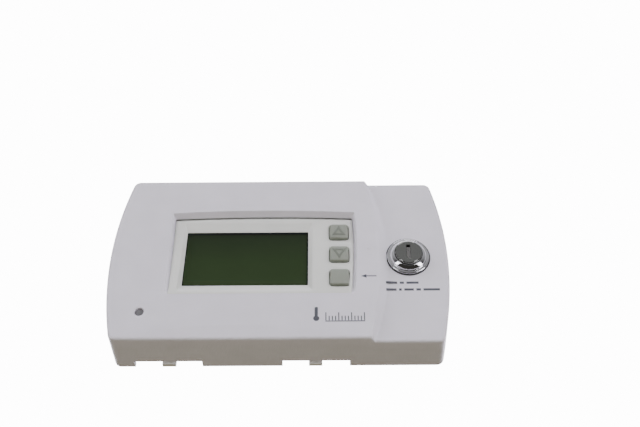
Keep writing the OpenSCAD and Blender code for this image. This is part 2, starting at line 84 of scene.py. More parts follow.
DRAFT_X, DRAFT_Y = 1.9, 1.1     # how much wider the case is at the wall than at its front, each side
FRONT = case_box.d1             # depth of the display half's front face
LEFT, RIGHT = case_box.x0 + DRAFT_X, case_box.x1 - DRAFT_X
LOW, HIGH = case_box.y0 + DRAFT_Y, 51.7           # lower and upper edge at the front
MID = (LOW + HIGH) / 2
BOW = 200.0                     # radius of the bowed sides
CORNER = 4.0
EDGE = 1.25                     # rounding of the front edge
WALL = 2.2
RIM = 0.25                      # bevel round the case's rear edge
STEP = 4.0                      # how much lower the lock half is
RIDGE_X, RIDGE_BOW = 71.0, 235.0                  # bowed upper line of the slope between the halves
FOOT_X, FOOT_BOW = 77.5, 138.0                    # and its lower line
SMILE_X, SMILE_Y, SMILE_R = -1.0, -42.0, 300.0    # curved line along the case's foot
SMILE_FALL, SMILE_SOFT = 0.075, 0.16              # how fast the face falls below it, and its rounding
NOTCHES = ((-55.8, -20.8), (20.8, 55.8))          # in the lower wall, up to depth NOTCH_D
NOTCH_D = 5.5
BEVEL_Y, BEVEL_D, BEVEL_RISE = 50.3, 0.4, 0.885   # slope along the upper back edge
BEVEL_END = 3.4                                   # depth beyond which the case's wall is straight

WINDOW = (-32.2, -16.4, 34.2, 18.0)               # left, low, right, high
FRAME_RECT = (-33.7, -21.8, 36.4, 23.75)
WINDOW_D = glass.d1 + 0.15
POCKET_LOW, POCKET_HIGH, POCKET_DEEP = -23.2, 26.9, 3.0
PANEL_CORNERS = ((-38.4, -23.6), (56.9, -23.6), (58.3, 26.7), (-39.6, 26.7))   # from the lower left
PANEL_BULGES = (0.1, 1.1, 1.2, -0.2)    # how far the foot, right side, head and left side bow out
COVE = 1.5                      # depth of the grooves along the panel's sides
HEAD_GAP = 1.1                  # gap between the recess's wall and the panel's head
SIDE_FIT, FOOT_FIT = 0.12, 0.04    # how far the panel's edge stays inside its corners' line
# How far outside that line these lie, at the sides, head and foot
LIP, SKIRT, FLANGE = (1.75, 1.9, 0.12), (2.3, 2.6, 0.7), (1.6, 2.45, 0.4)
FLANGE_BACK = (1.75, 3.2)       # how far the panel's flange lies behind its front, and along its head
LOCK = (gasket.x, gasket.y)
LENS = (lens.x, lens.y)


# ---- Outlines -----------------------------------------------------------------------------------

def side_points(reach, low, high, bow, corner, steps=44, corner_steps=6):
    """One bowed side with its two rounded corners, from the lower corner to the upper one."""
    centre = reach - bow
    across = bow - corner
    points = []
    tilt = {s: math.asin((edge - MID) / across) for s, edge in ((-1, low + corner), (1, high - corner))}
    hub = {s: (centre + across * math.cos(a), MID + across * math.sin(a)) for s, a in tilt.items()}
    for i in range(corner_steps + 1):
        a = -math.pi / 2 + (math.pi / 2 + tilt[-1]) * i / corner_steps
        points.append((hub[-1][0] + corner * math.cos(a), hub[-1][1] + corner * math.sin(a)))
    for i in range(1, steps):
        a = tilt[-1] + (tilt[1] - tilt[-1]) * i / steps
        points.append((centre + bow * math.cos(a), MID + bow * math.sin(a)))
    for i in range(corner_steps + 1):
        a = tilt[1] + (math.pi / 2 - tilt[1]) * i / corner_steps
        points.append((hub[1][0] + corner * math.cos(a), hub[1][1] + corner * math.sin(a)))
    return points


def line_samples():
    """x of every sample along the upper and lower edge, closer together where the case steps down."""
    edges = [x for notch in NOTCHES for x in notch]
    wide = [x for x in np.arange(-59.0, 97.0, 1.9) if min(abs(x - e) for e in edges) > 0.6]
    fine = list(np.arange(62.4, 73.0, 0.35))
    wide = [x for x in wide if not 62.0 < x < 73.2]
    return sorted(wide + fine + edges)


LINE_X = line_samples()


def case_loop(depth, inset):
    """The case's outline at a depth, drawn in by inset, anticlockwise from the lower left."""
    share = 1 - depth / FRONT
    low, high = LOW - DRAFT_Y * share + inset, HIGH + DRAFT_Y * share - inset
    size = (low, high, BOW - inset, CORNER - inset)
    right = side_points(RIGHT + DRAFT_X * share - inset, *size)
    left = side_points(-LEFT + DRAFT_X * share - inset, *size)
    return (
        [(x, low) for x in LINE_X] + right
        + [(x, high) for x in reversed(LINE_X)] + [(-x, y) for x, y in reversed(left)]
    )


def curved_quad(corners, bulges, radius, steps=24, corner_steps=4):
    """Anticlockwise loop with four bulging sides and rounded corners, from its lower left corner."""
    def along(i, t):
        a, b = np.array(corners[i]), np.array(corners[(i + 1) % 4])
        out = np.array([b[1] - a[1], a[0] - b[0]]) / np.linalg.norm(b - a)
        return a + (b - a) * t + 4 * bulges[i] * t * (1 - t) * out

    loop = []
    for i in range(4):
        trim = radius / np.linalg.norm(np.array(corners[(i + 1) % 4]) - np.array(corners[i]))
        before = radius / np.linalg.norm(np.array(corners[i]) - np.array(corners[i - 1]))
        start, end, knee = along(i - 1, 1 - before), along(i, trim), np.array(corners[i])
        for k in range(corner_steps):
            t = k / corner_steps
            loop.append(tuple((1 - t) ** 2 * start + 2 * t * (1 - t) * knee + t * t * end))
        for k in range(steps):
            loop.append(tuple(along(i, trim + (1 - 2 * trim) * k / steps)))
    return loop


def rect_loop(x0, y0, x1, y1, radius, grow=0.0, steps=12, corner_steps=4):
    """Loop of a rectangle with rounded corners, grown on every side."""
    x0, y0, x1, y1 = x0 - grow, y0 - grow, x1 + grow, y1 + grow
    return curved_quad([(x0, y0), (x1, y0), (x1, y1), (x0, y1)], (0, 0, 0, 0), radius, steps, corner_steps)


def circle_loop(centre, radius, steps=64):
    turns = [2 * math.pi * i / steps for i in range(steps)]
    return [(centre[0] + radius * math.cos(a), centre[1] + radius * math.sin(a)) for a in turns]


def pocket_loop(out, top=0.0, low=0.0):
    """Loop round the panel: the line along the coves' bottoms, moved out by `out` at the sides, by
    `top` along the arched upper side and by `low` along the straight lower one."""
    (x0, y0), (x1, y1), (x2, y2), (x3, y3) = PANEL_CORNERS
    corners = [(x0 - out, y0 - low), (x1 + out, y1 - low), (x2 + out * 0.8, y2 + top),
               (x3 - out * 0.8, y3 + top)]
    foot, right, head, left = PANEL_BULGES
    return curved_quad(corners, (foot, right + out * 0.1, head + top * 0.2, left + out * 0.05), 0.7)


# ---- Surfaces -----------------------------------------------------------------------------------

def ease(t):
    """Smooth step from 0 to 1."""
    t = min(1.0, max(0.0, t))
    return t * t * (3 - 2 * t)


def face_depth(x, y):
    """Depth of the case's front face: the display half, the slope to the lock half, and the shallow
    cut under the curved line along the foot."""
    off = (y - MID) ** 2 / 2
    ridge, foot = RIDGE_X - off / RIDGE_BOW, FOOT_X - off / FOOT_BOW
    t = ease((x - ridge) / (foot - ridge))
    below = SMILE_Y - (x - SMILE_X) ** 2 / (2 * SMILE_R) - y
    cut = SMILE_FALL * (below + math.hypot(below, SMILE_SOFT)) / 2 * (1 - t)
    return FRONT - STEP * t - cut


def panel_depth(x, y):
    """Depth of the recessed panel, which leans back towards its upper edge."""
    return FRONT - POCKET_DEEP * (y - POCKET_LOW) / (POCKET_HIGH - POCKET_LOW) - 0.03


def side_share(y):
    """1 beside the panel, falling to 0 at its lower edge and at its upper one."""
    return ease((y + 23.4) / 1.8) * ease((26.6 - y) / 2.5)


def head_share(y):
    """0 beside the panel, rising to 1 along its head."""
    return ease((y - 25.2) / 0.8)


def rear_depth(y):
    """Where the case's wall ends at the back: on the wall, or on the slope along the upper edge."""
    return max(0.0, BEVEL_D + (y - BEVEL_Y) * BEVEL_RISE) if y > BEVEL_Y else 0.0


# ---- Mesh tools ---------------------------------------------------------------------------------

def add_loop(bm, points):
    return [bm.verts.new(place(*p)) for p in points]


def lift(loop, depth_at):
    """Gives each flat point of a loop the depth that depth_at says, a number or a function of x, y."""
    return [(x, y, depth_at(x, y) if callable(depth_at) else depth_at) for x, y in loop]


def stitch(bm, a, b, skip=lambda i: False):
    """Joins two loops of the same length with quads."""
    n = len(a)
    for i in range(n):
        if not skip(i):
            bm.faces.new((a[i], a[(i + 1) % n], b[(i + 1) % n], b[i]))


def inside(points, polygon):
    """For each point, whether it lies inside the polygon."""
    x, y = points[:, 0][:, None], points[:, 1][:, None]
    ax, ay = polygon[:, 0], polygon[:, 1]
    bx, by = np.roll(ax, -1), np.roll(ay, -1)
    crosses = (ay > y) != (by > y)
    with np.errstate(divide="ignore", invalid="ignore"):
        at = (bx - ax) * (y - ay) / (by - ay) + ax
    return (np.where(crosses, x < at, False).sum(1) % 2) == 1


def flat_of(vert):
    return vert.co.x / MM, vert.co.z / MM


def fill(bm, outer, holes, depth_at, spots, margin=0.35):
    """Fills between an outer loop and holes with triangles through the given spots, each put at the
    depth that depth_at says."""
    loops = [outer, *holes]
    flat = [np.array([flat_of(v) for v in loop]) for loop in loops]
    edge_points = np.vstack(flat)
    spots = np.array(spots)
    keep = inside(spots, flat[0])
    for hole in flat[1:]:
        keep &= ~inside(spots, hole)
    spots = spots[keep]
    gap = np.array([np.min(np.hypot(*(edge_points - s).T)) for s in spots])
    spots = spots[gap > margin]
    edges, start = [], 0
    for loop in loops:
        n = len(loop)
        edges += [(start + i, start + (i + 1) % n) for i in range(n)]
        start += n
    coords = [Vector(p) for p in np.vstack([edge_points, spots])]
    verts, _, faces, origins, _, _ = delaunay_2d_cdt(coords, edges, [], 0, 1e-7)
    rim = [v for loop in loops for v in loop]
    made = []
    for co, origin in zip(verts, origins):
        if origin and origin[0] < len(rim):
            made.append(rim[origin[0]])
        else:
            made.append(bm.verts.new(place(co.x, co.y, depth_at(co.x, co.y))))
    middles = np.array([[sum(verts[i][k] for i in f) / 3 for k in (0, 1)] for f in faces])
    keep = inside(middles, flat[0])
    for hole in flat[1:]:
        keep &= ~inside(middles, hole)
    for face, wanted in zip(faces, keep):
        if wanted and len({made[i] for i in face}) == 3:
            bm.faces.new([made[i] for i in face])


def grid(x0, y0, x1, y1, pitch):
    """Staggered spots over a rectangle."""
    spots = []
    for j, y in enumerate(np.arange(y0, y1, pitch * 0.87)):
        spots += [(x, y) for x in np.arange(x0 + (j % 2) * pitch / 2, x1, pitch)]
    return spots


def add_prism(bm, outline, d0, d1):
    """Closed prism between two depths, each a number or a function of x, y."""
    back, front = add_loop(bm, lift(outline, d0)), add_loop(bm, lift(outline, d1))
    stitch(bm, back, front)
    bm.faces.new(back)
    bm.faces.new(front)


def add_bar(bm, profile, x0, x1):
    """Closed bar along x with a constant profile of (y, d) points."""
    ends = [[bm.verts.new(place(x, y, d)) for y, d in profile] for x in (x0, x1)]
    stitch(bm, *ends)
    for end in ends:
        bm.faces.new(end)


def add_lathe(bm, centre, profile, steps=96):
    """Ring turned about an axis out of the wall, from a closed profile of (radius, depth) points."""
    rings = [add_loop(bm, lift(circle_loop(centre, r, steps), d)) for r, d in profile]
    for a, b in zip(rings, rings[1:] + rings[:1]):
        stitch(bm, a, b)


def finish_mesh(bm, name, material, body, replaces=(), sharp=32):
    """Turns a bmesh into a smooth-shaded piece that rides on a body."""
    loose = [v for v in bm.verts if not v.link_faces]
    bmesh.ops.delete(bm, geom=loose, context="VERTS")
    bmesh.ops.recalc_face_normals(bm, faces=bm.faces)
    mesh = bpy.data.meshes.new(name)
    bm.to_mesh(mesh)
    bm.free()
    mesh.shade_smooth()
    mesh.set_sharp_from_angle(angle=math.radians(sharp))
    mesh.materials.append(material)
    piece = bpy.data.objects.new(name, mesh)
    bpy.context.scene.collection.objects.link(piece)
    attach(piece, body)
    if replaces:
        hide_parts(*replaces)
    return piece


# ---- Materials ----------------------------------------------------------------------------------

class Paint:
    """A procedural material under construction, in object coordinates (metres)."""

    def __init__(self, name, roughness=0.45, metallic=0.0, **sockets):
        self.material = bpy.data.materials.new(name)
        self.material.use_nodes = True
        self.tree = self.material.node_tree
        self.shader = self.tree.nodes["Principled BSDF"]
        self.shader.inputs["Roughness"].default_value = roughness
        self.shader.inputs["Metallic"].default_value = metallic
        for socket, value in sockets.items():
            self.shader.inputs[socket.replace("_", " ")].default_value = value
        self.where = self.tree.nodes.new("ShaderNodeTexCoord").outputs["Object"]

    def link(self, out, into):
        self.tree.links.new(out, into)

    def noise(self, scale, detail=2.0, stretch=None):
        """Noise with its size given as cycles per metre."""
        node = self.tree.nodes.new("ShaderNodeTexNoise")
        node.inputs["Scale"].default_value = scale
        node.inputs["Detail"].default_value = detail
        where = self.where
        if stretch:
            mapping = self.tree.nodes.new("ShaderNodeMapping")
            mapping.inputs["Scale"].default_value = stretch
            self.link(where, mapping.inputs["Vector"])
            where = mapping.outputs["Vector"]
        self.link(where, node.inputs["Vector"])
        return node.outputs["Fac"]

    def ramp(self, fac, stops):
        """Colours along a factor: stops of (place, colour)."""
        node = self.tree.nodes.new("ShaderNodeValToRGB")
        elements = node.color_ramp.elements
        while len(elements) < len(stops):
            elements.new(0.5)
        for element, (at, colour) in zip(elements, stops):
            element.position = at
            element.color = (*colour, 1.0)
        self.link(fac, node.inputs["Fac"])
        return node.outputs["Color"]

    def colour(self, base, mottle=0.04, scale=70.0):
        """Base colour that drifts a little lighter and darker."""
        dark = tuple(c * (1 - mottle) for c in base)
        light = tuple(min(1.0, c * (1 + mottle)) for c in base)
        shade = self.ramp(self.noise(scale, 4), [(0.3, dark), (0.7, light)])
        self.link(shade, self.shader.inputs["Base Color"])
        return self

    def rough(self, low, high, scale=160.0):
        """Roughness that varies between two values in soft patches."""
        node = self.tree.nodes.new("ShaderNodeMapRange")
        node.inputs["From Min"].default_value = 0.3
        node.inputs["From Max"].default_value = 0.7
        node.inputs["To Min"].default_value = low
        node.inputs["To Max"].default_value = high
        self.link(self.noise(scale, 3), node.inputs["Value"])
        self.link(node.outputs["Result"], self.shader.inputs["Roughness"])
        return self

    def grain(self, scale, height, detail=3.0, stretch=None):
        """Fine relief, its height in metres."""
        bump = self.tree.nodes.new("ShaderNodeBump")
        bump.inputs["Strength"].default_value = 1.0
        bump.inputs["Distance"].default_value = height
        self.link(self.noise(scale, detail, stretch), bump.inputs["Height"])
        self.link(bump.outputs["Normal"], self.shader.inputs["Normal"])
        return self


def moulded(name, base, low=0.38, high=0.5, grain=0.000012, **sockets):
    """Moulded plastic with a fine spark-eroded texture."""
    return Paint(name, **sockets).colour(base, 0.025).rough(low, high).grain(2600.0, grain).material


def polished(name, base, low=0.04, high=0.09, mottle=0.03):
    """Plated metal with faint polishing marks."""
    paint = Paint(name, metallic=1.0).colour(base, mottle, 240.0).rough(low, high, 420.0)
    return paint.grain(900.0, 0.0000012, 2.0, (1.0, 1.0, 0.25)).material


def brushed(name, base, low=0.25, high=0.4):
    """Metal with drawn or brushed lines."""
    paint = Paint(name, metallic=1.0).colour(base, 0.08, 900.0).rough(low, high, 600.0)
    return paint.grain(2200.0, 0.000004, 3.0, (0.15, 1.0, 1.0)).material


def plain_gloss(name, roughness, base, scale):
    """Smooth glass or clear plastic with faint waves."""
    return Paint(name, roughness=roughness).colour(base).grain(scale, 0.00001).material


def board_laminate():
    """Green solder mask over copper: tracks show as slightly lighter lines."""
    paint = Paint("board_laminate", roughness=0.3)
    wave = paint.tree.nodes.new("ShaderNodeTexBrick")
    wave.inputs["Scale"].default_value = 260.0
    wave.inputs["Mortar Size"].default_value = 0.03
    wave.inputs["Color1"].default_value = (0.012, 0.085, 0.03, 1)
    wave.inputs["Color2"].default_value = (0.015, 0.1, 0.036, 1)
    wave.inputs["Mortar"].default_value = (0.035, 0.19, 0.07, 1)
    turn = paint.tree.nodes.new("ShaderNodeMapping")
    turn.inputs["Rotation"].default_value = (math.pi / 2, 0, 0)
    paint.link(paint.where, turn.inputs["Vector"])
    paint.link(turn.outputs["Vector"], wave.inputs["Vector"])
    paint.link(wave.outputs["Color"], paint.shader.inputs["Base Color"])
    return paint.grain(3000.0, 0.000006).rough(0.22, 0.34).material


def display_glass():
    """Dark green display with a soft sheen; its colour is a painted gradient of light, lighter towards its
    foot and darker towards its head.
    """
    paint = Paint("display_glass", roughness=0.12, Specular_IOR_Level=0.22)
    split = paint.tree.nodes.new("ShaderNodeSeparateXYZ")
    paint.link(paint.where, split.inputs["Vector"])
    height = paint.tree.nodes.new("ShaderNodeMapRange")
    height.inputs["From Min"].default_value = WINDOW[1] * MM
    height.inputs["From Max"].default_value = WINDOW[3] * MM
    paint.link(split.outputs["Z"], height.inputs["Value"])
    # Painted light: the green is lighter towards the display's foot and darker towards its head.
    shade = paint.ramp(height.outputs["Result"], [
        (0.0, (0.025, 0.042, 0.016)), (0.45, (0.022, 0.038, 0.014)), (0.85, (0.0175, 0.0275, 0.012)),
        (1.0, (0.012, 0.018, 0.009)),
    ])
    drift = paint.tree.nodes.new("ShaderNodeMixRGB")
    drift.blend_type = "MULTIPLY"
    drift.inputs["Fac"].default_value = 0.25
    paint.link(shade, drift.inputs["Color1"])
    patches = paint.ramp(paint.noise(35.0, 2), [(0.3, (0.7, 0.7, 0.7)), (0.7, (1, 1, 1))])
    paint.link(patches, drift.inputs["Color2"])
    paint.link(drift.outputs["Color"], paint.shader.inputs["Base Color"])
    return paint.grain(60.0, 0.00002, 1.0).material


MATERIALS = {
    "case_plastic": moulded("case_plastic", (0.69, 0.675, 0.735)),
    "panel_plastic": moulded("panel_plastic", (0.655, 0.67, 0.635)),
    "plate_plastic": moulded("plate_plastic", (0.78, 0.78, 0.77)),
    "latch_plastic": moulded("latch_plastic", (0.74, 0.74, 0.72)),
    "cover_plastic": moulded("cover_plastic", (0.66, 0.66, 0.665), grain=0.00002),
    "button_plastic": moulded("button_plastic", (0.225, 0.245, 0.205), 0.4, 0.5),
    "plunger_plastic": moulded("plunger_plastic", (0.03, 0.03, 0.03)),
    "block_plastic": moulded("block_plastic", (0.72, 0.73, 0.72)),
    "black_plastic": moulded("black_plastic", (0.018, 0.018, 0.02), 0.35, 0.5),
    "holder_plastic": moulded("holder_plastic", (0.8, 0.8, 0.8)),
    "relay_plastic": moulded("relay_plastic", (0.75, 0.28, 0.05), 0.2, 0.3, 0.000004),
    "lens_plastic": moulded("lens_plastic", (0.13, 0.13, 0.133), 0.3, 0.4, 0.000004),
    "lcd_glass": display_glass(),
    "rear_glass": plain_gloss("rear_glass", 0.1, (0.1, 0.13, 0.07), 90.0),
    "light_guide": plain_gloss("light_guide", 0.2, (0.82, 0.84, 0.76), 500.0),
    "silicone": moulded("silicone", (0.1, 0.1, 0.12), 0.5, 0.7),
    "gasket_rubber": moulded("gasket_rubber", (0.025, 0.025, 0.028), 0.5, 0.7),
    "board_laminate": board_laminate(),
    "chip_plastic": moulded("chip_plastic", (0.025, 0.025, 0.028), 0.4, 0.55),
    "capacitor_sleeve": moulded("capacitor_sleeve", (0.03, 0.05, 0.13), 0.2, 0.3, 0.000004),
    "sensor_coat": moulded("sensor_coat", (0.05, 0.2, 0.13), 0.2, 0.35, 0.00002),
    "lock_chrome": polished("lock_chrome", (0.80, 0.80, 0.81)),
    # Painted reflection: the plug's metal is coloured darker than plain steel to stand in for the dark
    # surroundings it reflects.
    "plug_metal": polished("plug_metal", (0.29, 0.295, 0.275), 0.16, 0.26),
    "rotor_steel": brushed("rotor_steel", (0.45, 0.45, 0.45)),
    "shutter_steel": brushed("shutter_steel", (0.36, 0.355, 0.34)),
    "nut_steel": brushed("nut_steel", (0.6, 0.6, 0.61)),
    "screw_steel": brushed("screw_steel", (0.55, 0.55, 0.56)),
    "dark_screw": brushed("dark_screw", (0.06, 0.06, 0.065)),
    "dome_steel": polished("dome_steel", (0.7, 0.7, 0.7), 0.1, 0.2),
    "clamp_brass": brushed("clamp_brass", (0.66, 0.56, 0.32)),
    "pin_gold": polished("pin_gold", (0.85, 0.66, 0.27), 0.1, 0.2),
    "wafer_brass": brushed("wafer_brass", (0.75, 0.58, 0.28)),
    "wire_sleeve": moulded("wire_sleeve", (0.45, 0.03, 0.02), 0.25, 0.35, 0.000005),
    "wire_plug_plastic": moulded("wire_plug_plastic", (0.85, 0.83, 0.75)),
}
ink = moulded("print_ink", (0.075, 0.078, 0.095), 0.4, 0.55, 0.000006)
# Painted shade: the key triangles are coloured darker than the key cap to stand in for the shading of their
# relief.
shaded_mark_plastic = moulded("shaded_mark_plastic", (0.155, 0.17, 0.14), 0.4, 0.5)
border_black = moulded("border_black", (0.003, 0.004, 0.003), 0.3, 0.45, 0.000002, Specular_IOR_Level=0.2)


# ---- Front case ---------------------------------------------------------------------------------

def slope_spots():
    """Spots across the slope between the two halves, and on both sides of the curved line at the foot."""
    spots = []
    for y in np.arange(LOW, HIGH, 1.1):
        off = (y - MID) ** 2 / 2
        ridge, foot = RIDGE_X - off / RIDGE_BOW, FOOT_X - off / FOOT_BOW
        spots += [(ridge + (foot - ridge) * t, y) for t in np.arange(-0.1, 1.15, 0.08)]
    for x in np.arange(LEFT, RIDGE_X - 3, 1.2):
        line = SMILE_Y - (x - SMILE_X) ** 2 / (2 * SMILE_R)
        spots += [(x, line + off) for off in (-0.9, -0.35, -0.12, 0.12, 0.35, 0.9)]
    return spots


def sparse(spots, taken, reach):
    """The spots that lie further than reach from every taken one."""
    taken = np.array(taken)
    return [s for s in spots if np.min(np.abs(taken - s).sum(1)) > reach]


def build_case():
    """The hollow front case: bowed side walls, the stepped front face and the recess for the panel."""
    bm = bmesh.new()

    def wall_ring(inset, depth_of):
        """A ring of the side wall, each sample at the depth that depth_of says for its place."""
        at_wall, at_front = case_loop(0, inset), case_loop(FRONT, inset)
        ring = []
        for (x0, y0), (x1, y1) in zip(at_wall, at_front):
            d = depth_of(x0, y0, x1, y1)
            s = d / FRONT
            ring.append((x0 + (x1 - x0) * s, y0 + (y1 - y0) * s, d))
        return add_loop(bm, ring)

    def shoulder(x1, y1):
        return face_depth(x1, y1) - EDGE

    outer = [
        wall_ring(RIM, lambda x0, y0, x1, y1: rear_depth(y0)),
        wall_ring(0, lambda x0, y0, x1, y1: rear_depth(y0) + RIM),
        wall_ring(0, lambda x0, y0, x1, y1: BEVEL_END),
        wall_ring(0, lambda x0, y0, x1, y1: NOTCH_D),
    ]
    for share in (0.3, 0.65, 1.0):
        outer.append(wall_ring(
            0, lambda x0, y0, x1, y1, s=share: NOTCH_D + (shoulder(x1, y1) - NOTCH_D) * s))
    for i in range(1, 8):
        a = math.pi / 2 * i / 7
        outer.append(wall_ring(
            EDGE * (1 - math.cos(a)),
            lambda x0, y0, x1, y1, a=a: face_depth(x1, y1) - EDGE * (1 - math.sin(a))))
    inner = [
        wall_ring(WALL - RIM, lambda x0, y0, x1, y1: rear_depth(y0)),
        wall_ring(WALL, lambda x0, y0, x1, y1: rear_depth(y0) + RIM),
        wall_ring(WALL, lambda x0, y0, x1, y1: BEVEL_END),
        wall_ring(WALL, lambda x0, y0, x1, y1: NOTCH_D),
        wall_ring(WALL, lambda x0, y0, x1, y1: face_depth(x1, y1) - WALL),
    ]
    count = len(LINE_X)

    def in_notch(i):
        """Whether the span from sample i to the next lies over one of the notches in the lower wall."""
        if i >= count - 1:
            return False
        middle = (LINE_X[i] + LINE_X[i + 1]) / 2
        return any(a < middle < b for a, b in NOTCHES)

    for rings in (outer, inner):
        for level, (a, b) in enumerate(zip(rings, rings[1:])):
            stitch(bm, a, b, in_notch if level < 3 else lambda i: False)
    stitch(bm, outer[0], inner[0], in_notch)
    stitch(bm, outer[3], inner[3], lambda i: not in_notch(i))
    for x in (x for notch in NOTCHES for x in notch):
        i = LINE_X.index(x)
        bm.faces.new([ring[i] for ring in outer[:4]] + [ring[i] for ring in reversed(inner[:4])])

    # The recess for the panel: a wall that falls from the lip to the groove, and a skirt behind it.
    # Along the head the wall stops at an open gap, level with the panel.
    def wall_depth(x, y, share):
        """Depth of the recess's wall, share of the way from the lip down to the groove."""
        deep = face_depth(x, y) - panel_depth(x, y) + 0.02 + COVE * side_share(y)
        soft = ease(share) * 0.7 + share * 0.3     # rounded at the sides, straight along the head
        return face_depth(x, y) - deep * (soft + (share - soft) * head_share(y))

    def groove(x, y):
        return wall_depth(x, y, 1) - 0.15 * head_share(y)

    def skirt(x, y):
        return min(FRONT - WALL, groove(x, y) - 0.5 - 2.4 * head_share(y))

    lip = [add_loop(bm, lift(pocket_loop(*LIP), face_depth))]
    for step in range(1, 9):
        share = step / 8
        lip.append(add_loop(bm, lift(
            pocket_loop(*(reach * (1 - share) for reach in LIP)),
            lambda x, y, s=share: wall_depth(x, y, s))))
    lip += [
        add_loop(bm, lift(pocket_loop(0.0, 0.0), groove)),
        add_loop(bm, lift(pocket_loop(*SKIRT), groove)),
        add_loop(bm, lift(pocket_loop(*SKIRT), skirt)),
    ]
    for a, b in zip(lip, lip[1:]):
        stitch(bm, a, b)

    def round_hole(centre, radius, soft):
        """Loops of a round hole from the front face to the case's inner face."""
        steps = ((soft, 0), (soft * 0.3, soft * 0.3), (0, soft), (0, WALL))    # (wider, deeper)
        rings = [
            add_loop(bm, lift(circle_loop(centre, radius + wider),
                              lambda x, y, d=deeper: face_depth(x, y) - d))
            for wider, deeper in steps
        ]
        for a, b in zip(rings, rings[1:]):
            stitch(bm, a, b)
        return rings

    lock_hole = round_hole(LOCK, 9.45, 0.15)
    lens_hole = round_hole(LENS, 2.3, 0.3)

    fine = slope_spots()
    spots = fine + sparse(grid(LEFT, LOW, RIGHT, HIGH, 2.2), fine, 1.0)
    fill(bm, outer[-1], [lip[0], lock_hole[0], lens_hole[0]], face_depth, spots)
    fill(bm, inner[-1], [lip[-1], lock_hole[-1], lens_hole[-1]], lambda x, y: face_depth(x, y) - WALL,
         grid(LEFT, LOW, RIGHT, HIGH, 4.5))

    # Bars behind the wall plate's hooks, catches for the latches and posts for the screws
    nose = [(49.95 - 0.5 * math.sin(a), 0.95 + 0.5 * math.cos(a)) for a in np.linspace(0, math.pi, 9)]
    for x in (-30, 30):
        add_bar(bm, nose + [(50.4, 0.45), (51.4, 1.45)], x - 6, x + 6)
    for x in (-38, 38):
        add_bar(bm, [(-48.9, 5.8), (-48.9, 7.0), (-47.1, 7.0), (-46.9, 6.8), (-46.9, 5.8)], x - 5, x + 5)
    posts = [(x, y, 13.65) for x in (-58, 58) for y in (-38, 40)] + [(98, 36, 4.0), (98, -34, 4.0)]
    for x, y, d in posts:
        top = face_depth(x, y) - WALL + 0.3
        add_lathe(bm, (x, y), [(1.25, d), (3.1, d), (3.3, d + 0.3), (3.3, top), (1.25, top)], 24)
    return finish_mesh(bm, "case_shell", MATERIALS["case_plastic"], "front", ["front_case"])


# ---- Display panel and buttons ------------------------------------------------------------------

BUTTONS = {name: FlatBox("button_" + name) for name in ("up", "down", "start")}
BUTTON_W, BUTTON_H, BUTTON_R = 10.1, 10.0, 1.6


def button_rect(box, grow):
    return rect_loop(box.x - BUTTON_W / 2, box.y - BUTTON_H / 2, box.x + BUTTON_W / 2, box.y + BUTTON_H / 2,
                     BUTTON_R + grow, grow, 8)


